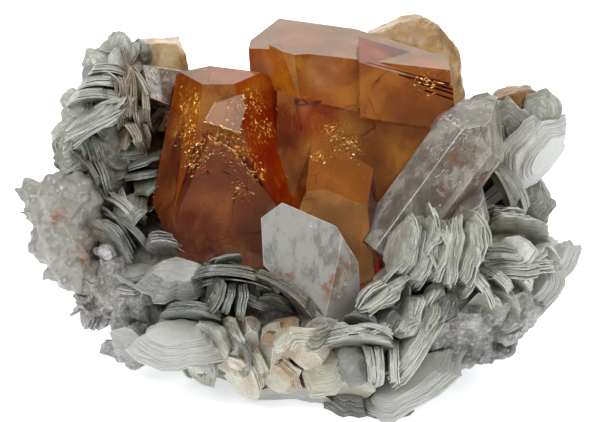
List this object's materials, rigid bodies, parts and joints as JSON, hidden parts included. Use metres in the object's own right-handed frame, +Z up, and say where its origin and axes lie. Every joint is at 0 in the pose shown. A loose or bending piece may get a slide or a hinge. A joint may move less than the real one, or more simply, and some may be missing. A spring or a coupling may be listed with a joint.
{
  "type": "scheelite crystal specimen",
  "caption": "Blocky orange scheelite crystals grown together with clear quartz prisms in a rough bowl of bladed muscovite mica; a natural mineral specimen that rests on a flat patch underneath.",
  "frame": {"origin": "on the resting plane, below the middle of the whole specimen", "axes": "+X to the right seen from the display side, +Y towards the back, +Z up"},
  "size_m": [0.0996, 0.0652, 0.0592],
  "materials": {
    "muscovite": "pearly silver-green mica, fine layered edges",
    "scheelite": "glossy translucent red-orange crystal with golden veils",
    "pale_scheelite": "satin translucent pale amber crystal",
    "quartz": "glossy clear crystal with faint veils and brownish inclusions",
    "milky_quartz": "satin milky translucent crystal with brownish patches"
  },
  "bodies": {
    "root": {"muscovite_matrix": "muscovite", "scheelite_pair": "scheelite", "scheelite_back": "pale_scheelite", "scheelite_small_left": "pale_scheelite", "scheelite_small_right": "pale_scheelite", "quartz_tall": "quartz", "quartz_small_right": "quartz", "quartz_front": "quartz", "quartz_smoky_left": "quartz", "quartz_low_front": "milky_quartz", "quartz_cluster_left": "milky_quartz"}
  },
  "joints": []
}
